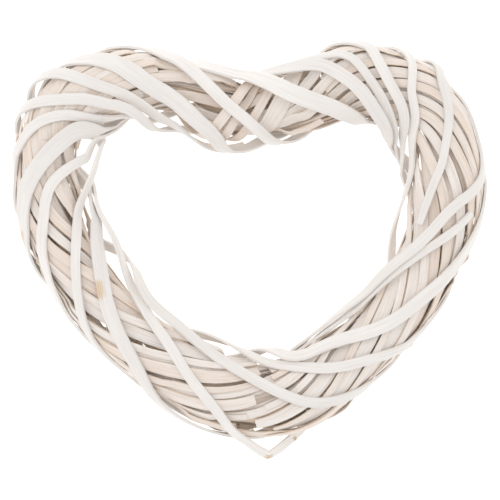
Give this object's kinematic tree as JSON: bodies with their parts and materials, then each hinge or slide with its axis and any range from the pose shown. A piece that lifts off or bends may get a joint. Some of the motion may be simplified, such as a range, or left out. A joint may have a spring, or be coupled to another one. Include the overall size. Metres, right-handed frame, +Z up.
{
  "type": "heart wreath",
  "caption": "Open heart-shaped wreath wound from flat splits of whitewashed rattan in a twisted ring.",
  "frame": {"origin": "middle of the outline, on the surface the wreath lies on", "axes": "+X across the heart, +Y from the tip towards the notch, +Z up out of the face that is looked at"},
  "size_m": [0.2484, 0.2192, 0.0454],
  "materials": {
    "whitewashed_rattan": "chalky white wash over rattan splits",
    "cream_rattan": "thin cream wash over rattan splits, matt"
  },
  "bodies": {
    "root": {"inner_strip_01": "cream_rattan", "inner_strip_02": "cream_rattan", "inner_strip_03": "cream_rattan", "inner_strip_04": "cream_rattan", "inner_strip_05": "cream_rattan", "inner_strip_06": "cream_rattan", "inner_strip_07": "cream_rattan", "inner_strip_08": "cream_rattan", "inner_strip_09": "cream_rattan", "inner_strip_10": "cream_rattan", "inner_strip_11": "cream_rattan", "inner_strip_12": "cream_rattan", "inner_strip_13": "cream_rattan", "inner_strip_14": "cream_rattan", "inner_strip_15": "cream_rattan", "inner_strip_16": "cream_rattan", "inner_strip_17": "cream_rattan", "inner_strip_18": "cream_rattan", "inner_strip_19": "cream_rattan", "inner_strip_20": "cream_rattan", "inner_strip_21": "cream_rattan", "inner_strip_22": "cream_rattan", "inner_strip_23": "cream_rattan", "inner_strip_24": "cream_rattan", "inner_strip_25": "cream_rattan", "inner_strip_26": "cream_rattan", "inner_strip_27": "cream_rattan", "inner_strip_28": "cream_rattan", "inner_strip_29": "cream_rattan", "inner_strip_30": "cream_rattan", "inner_strip_31": "cream_rattan", "inner_strip_32": "cream_rattan", "notch_wrap_1": "cream_rattan", "notch_wrap_2": "cream_rattan", "notch_wrap_3": "cream_rattan", "notch_wrap_4": "cream_rattan", "outer_strip_a": "whitewashed_rattan", "outer_strip_b": "whitewashed_rattan", "outer_strip_c": "whitewashed_rattan", "outer_strip_d": "whitewashed_rattan", "outer_strip_e": "whitewashed_rattan", "outer_strip_f": "whitewashed_rattan", "outer_strip_g": "whitewashed_rattan", "outer_strip_h": "whitewashed_rattan", "outer_strip_i": "whitewashed_rattan", "outer_strip_j": "whitewashed_rattan", "outer_strip_k": "whitewashed_rattan", "outer_strip_l": "whitewashed_rattan", "outer_strip_m": "whitewashed_rattan", "outer_strip_n": "whitewashed_rattan", "outer_strip_o": "whitewashed_rattan", "outer_strip_p": "whitewashed_rattan", "outer_strip_q": "whitewashed_rattan", "outer_strip_r": "whitewashed_rattan", "outer_strip_s": "whitewashed_rattan", "outer_strip_t": "whitewashed_rattan", "outer_strip_u": "whitewashed_rattan"}
  },
  "joints": []
}
